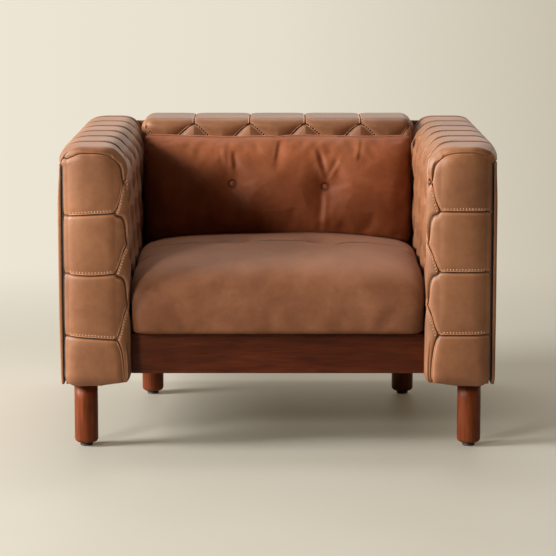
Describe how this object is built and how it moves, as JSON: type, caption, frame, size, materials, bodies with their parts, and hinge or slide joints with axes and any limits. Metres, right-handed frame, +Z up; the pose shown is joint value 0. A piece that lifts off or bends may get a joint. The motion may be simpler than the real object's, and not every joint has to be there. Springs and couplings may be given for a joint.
{
  "type": "upholstered armchair",
  "caption": "Square tufted leather armchair with a deep crowned seat cushion, a loose back cushion, a walnut front rail and round wooden legs.",
  "frame": {"origin": "on the floor under the middle of the chair's overall box", "axes": "+X to the sitter's left, the chair faces -Y, +Z up"},
  "size_m": [0.99, 0.885, 0.704],
  "materials": {
    "upholstery_leather": "satin, warm tan-brown leather with a light sheen and pale seam edges",
    "seat_leather": "satin, slightly mottled tan-brown leather",
    "back_cushion_leather": "semi-gloss, redder brown leather, creased round its buttons",
    "foam": "matte open-cell foam",
    "fibre_fill": "matte fibre in a cloth bag",
    "frame_timber": "sawn hardwood",
    "walnut": "satin lacquered dark walnut, grain along the rail",
    "leg_wood": "satin lacquered reddish walnut, grain along the leg",
    "webbing": "woven elastic webbing",
    "lining_cloth": "matte dark lining",
    "bolt_steel": "zinc-plated steel",
    "glide_plastic": "matte dark plastic"
  },
  "bodies": {
    "frame": {"arm_cover_left": "upholstery_leather", "arm_cover_right": "upholstery_leather", "back_cover": "upholstery_leather", "outside_arm_panel_left": "upholstery_leather", "outside_arm_panel_right": "upholstery_leather", "outside_back_panel": "upholstery_leather", "arm_front_board_left": "frame_timber", "arm_front_board_right": "frame_timber", "arm_top_rail_left": "frame_timber", "arm_top_rail_right": "frame_timber", "arm_rear_post_left": "frame_timber", "arm_rear_post_right": "frame_timber", "arm_bottom_rail_left": "frame_timber", "arm_bottom_rail_right": "frame_timber", "inner_front_rail": "frame_timber", "back_rail": "frame_timber", "side_rail_left": "frame_timber", "side_rail_right": "frame_timber", "rear_leg_block_left": "frame_timber", "rear_leg_block_right": "frame_timber", "back_top_rail": "frame_timber", "back_post_left": "frame_timber", "back_post_right": "frame_timber", "front_rail": "walnut", "arm_top_foam_left": "foam", "arm_top_foam_right": "foam", "arm_side_foam_left": "foam", "arm_side_foam_right": "foam", "back_foam": "foam", "back_top_foam": "foam", "seat_strap_1": "webbing", "seat_strap_2": "webbing", "seat_strap_3": "webbing", "seat_strap_4": "webbing", "cross_strap_1": "webbing", "cross_strap_2": "webbing", "cross_strap_3": "webbing", "seat_deck": "lining_cloth", "dust_cover": "lining_cloth", "front_leg_left": "leg_wood", "front_leg_right": "leg_wood", "rear_leg_left": "leg_wood", "rear_leg_right": "leg_wood", "front_leg_bolt_left": "bolt_steel", "front_leg_bolt_right": "bolt_steel", "rear_leg_bolt_left": "bolt_steel", "rear_leg_bolt_right": "bolt_steel", "front_glide_left": "glide_plastic", "front_glide_right": "glide_plastic", "rear_glide_left": "glide_plastic", "rear_glide_right": "glide_plastic"},
    "seat_cushion": {"seat_cushion_cover": "seat_leather", "seat_cushion_foam": "foam", "seat_button_left": "seat_leather", "seat_button_right": "seat_leather"},
    "back_cushion": {"back_cushion_cover": "back_cushion_leather", "back_cushion_fill": "fibre_fill", "back_button_left": "back_cushion_leather", "back_button_right": "back_cushion_leather"}
  },
  "joints": [
    {"name": "seat_lift", "type": "slide", "parent": "frame", "child": "seat_cushion", "axis": [0, 0, 1], "range_m": [0, 0.44]},
    {"name": "back_lift", "type": "slide", "parent": "seat_cushion", "child": "back_cushion", "axis": [0, 0, 1], "range_m": [0, 0.27]}
  ]
}
